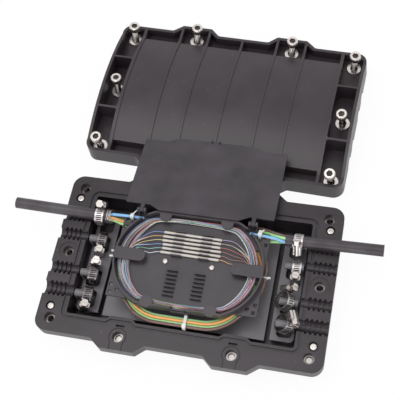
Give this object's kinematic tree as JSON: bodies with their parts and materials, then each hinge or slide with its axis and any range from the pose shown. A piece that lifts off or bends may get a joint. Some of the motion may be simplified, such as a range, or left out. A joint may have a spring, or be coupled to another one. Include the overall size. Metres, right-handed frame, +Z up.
{
  "type": "horizontal fibre splice closure",
  "caption": "Horizontal fibre splice closure opened out: ribbed base with cable ports, clamps, splice tray with hinged lid, and vaulted cover beside it.",
  "frame": {"origin": "centre of the underside of the base, on the bench", "axes": "+Z up, +X along the base towards the right-hand cable, +Y back towards the cover"},
  "size_m": [0.3185, 0.3316, 0.0464],
  "materials": {
    "cable_jacket": "black polyethylene jacket",
    "clamp_plate_metal": "black painted steel plate",
    "fibre_coating": "many coloured fibre coatings",
    "insert_metal": "bright plated threaded insert",
    "screw_metal": "bright zinc plated steel",
    "shell_plastic": "black moulded polypropylene, fine satin grain",
    "sleeve_plastic": "milky heat-shrunk sleeve",
    "stainless_band": "perforated stainless band",
    "tie_plastic": "white nylon",
    "tray_plastic": "black satin plastic",
    "tube_blue": "light blue buffer tube",
    "tube_brown": "brown buffer tube",
    "tube_green": "green buffer tube",
    "tube_orange": "orange buffer tube",
    "wire_steel": "drawn steel wire"
  },
  "bodies": {
    "closure": {"base_inserts": "insert_metal", "base_shell": "shell_plastic", "blue_tube_left": "tube_blue", "blue_tube_right": "tube_blue", "brown_tube": "tube_brown", "cable_left": "cable_jacket", "cable_right": "cable_jacket", "clamp_band_left_1": "stainless_band", "clamp_band_left_2": "stainless_band", "clamp_band_left_3": "stainless_band", "clamp_band_left_4": "stainless_band", "clamp_band_right_1": "stainless_band", "clamp_band_right_2": "stainless_band", "clamp_band_right_3": "stainless_band", "clamp_band_right_4": "stainless_band", "clamp_housings": "stainless_band", "clamp_plate_left": "clamp_plate_metal", "clamp_plate_right": "clamp_plate_metal", "clamp_worm_screws": "screw_metal", "corner_screws": "screw_metal", "cover_bolts": "screw_metal", "cover_shell": "shell_plastic", "cover_washers": "screw_metal", "fibre_bed": "fibre_coating", "green_tube_inner": "tube_green", "green_tube_outer": "tube_green", "orange_tube": "tube_orange", "splice_sleeves": "sleeve_plastic", "splice_tray": "tray_plastic", "storage_platform": "tray_plastic", "strength_wires": "wire_steel", "tray_screws": "screw_metal", "tube_ties": "tie_plastic"},
    "lid": {"tray_lid": "tray_plastic"}
  },
  "joints": [
    {"name": "lid_hinge", "type": "hinge", "parent": "closure", "child": "lid", "pos_m": [-0.0008, 0.0404, 0.0435], "axis": [1, 0, 0], "range_deg": [0, 189.9]}
  ]
}
